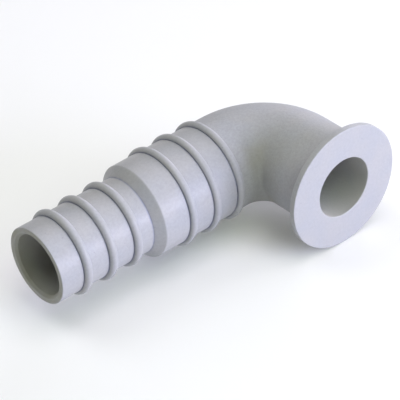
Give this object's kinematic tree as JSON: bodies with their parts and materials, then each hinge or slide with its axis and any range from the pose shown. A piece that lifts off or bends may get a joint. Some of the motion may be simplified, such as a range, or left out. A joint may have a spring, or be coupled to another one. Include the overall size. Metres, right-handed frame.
{
  "type": "flanged hose elbow",
  "caption": "Light grey right-angle hose elbow: flat round flange, smooth tight bend and a stepped, ribbed hose tail for two hose sizes.",
  "frame": {"origin": "centre of the flange's bore, on the flange's flat outer face", "axes": "-Y out of the flange's bore, square to its face; the hose tail runs off along -X, parallel to the flange's face; +Z square to the plane of the bend"},
  "size_m": [0.1405, 0.0667, 0.0524],
  "materials": {
    "flange_plastic": "satin, moulded",
    "elbow_plastic": "fine matte grain, moulded",
    "tail_plastic": "satin, moulded",
    "ring_plastic": "satin, moulded"
  },
  "bodies": {
    "root": {"flange": "flange_plastic", "elbow": "elbow_plastic", "small_stage_tube": "tail_plastic", "large_stage_tube": "tail_plastic", "small_stage_ring_1": "ring_plastic", "small_stage_ring_2": "ring_plastic", "small_stage_ring_3": "ring_plastic", "large_stage_ring_1": "ring_plastic", "large_stage_ring_2": "ring_plastic", "large_stage_ring_3": "ring_plastic"}
  },
  "joints": []
}
